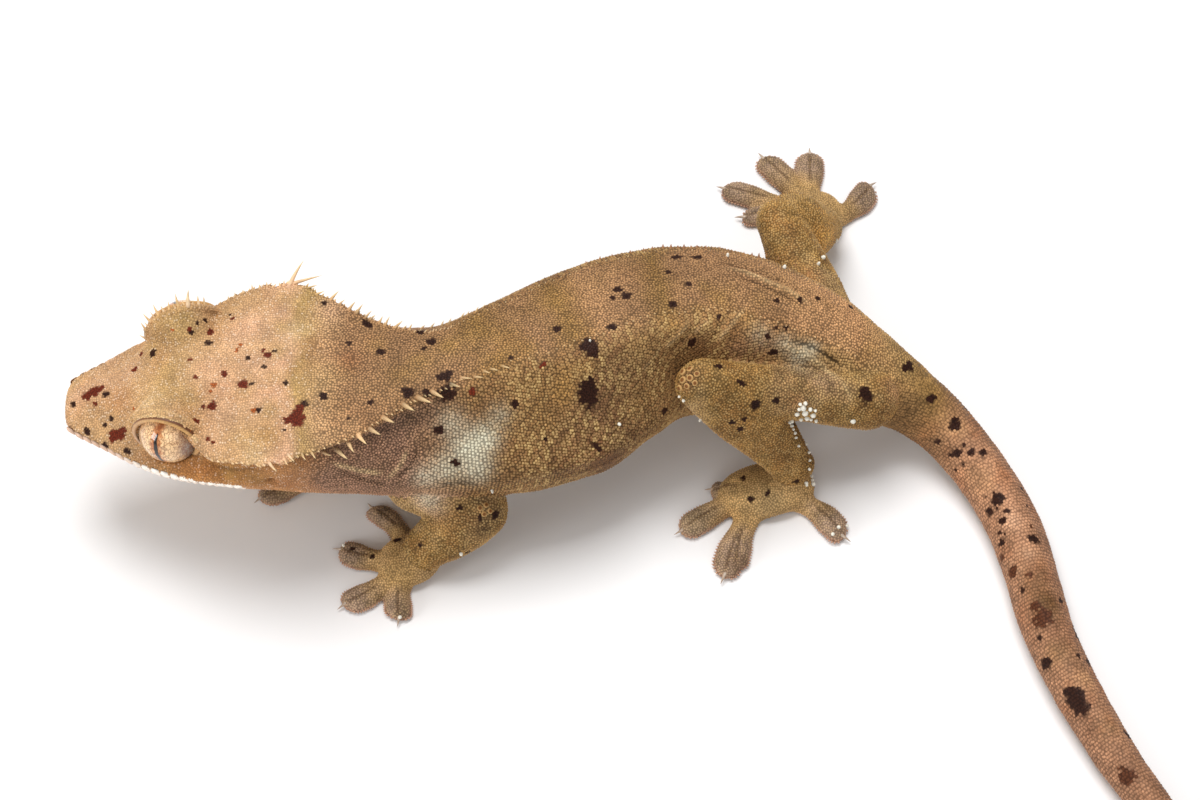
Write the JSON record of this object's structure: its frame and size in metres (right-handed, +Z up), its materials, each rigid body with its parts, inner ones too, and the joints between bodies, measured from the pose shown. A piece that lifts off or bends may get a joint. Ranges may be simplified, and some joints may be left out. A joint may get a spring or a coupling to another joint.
{
  "type": "crested gecko",
  "caption": "Life-size still model of a crested gecko with a spiny head crest, lidless eyes, broad toe pads and a tail laid in a curve along the floor.",
  "frame": {"origin": "middle of the bounding box's underside, at floor level", "axes": "the animal faces -X, its left side is towards -Y, and +Z is up; the body runs along X"},
  "size_m": [0.1672, 0.1296, 0.0313],
  "materials": {
    "skin_head": "matt granular skin, pinkish tan",
    "skin_body": "matt granular skin, olive brown",
    "skin_leg": "matt granular skin, yellow olive",
    "skin_tail": "matt granular skin, pinkish tan",
    "eye": "glossy, tan iris with a slit pupil"
  },
  "bodies": {
    "root": {"head": "skin_head", "neck": "skin_head", "torso": "skin_body", "tail_base": "skin_tail", "tail_middle": "skin_tail", "tail_tip": "skin_tail", "eye_left": "eye", "eye_right": "eye", "front_left_leg": "skin_leg", "front_left_foot": "skin_leg", "front_right_leg": "skin_leg", "front_right_foot": "skin_leg", "hind_left_leg": "skin_leg", "hind_left_foot": "skin_leg", "hind_right_leg": "skin_leg", "hind_right_foot": "skin_leg"}
  },
  "joints": []
}
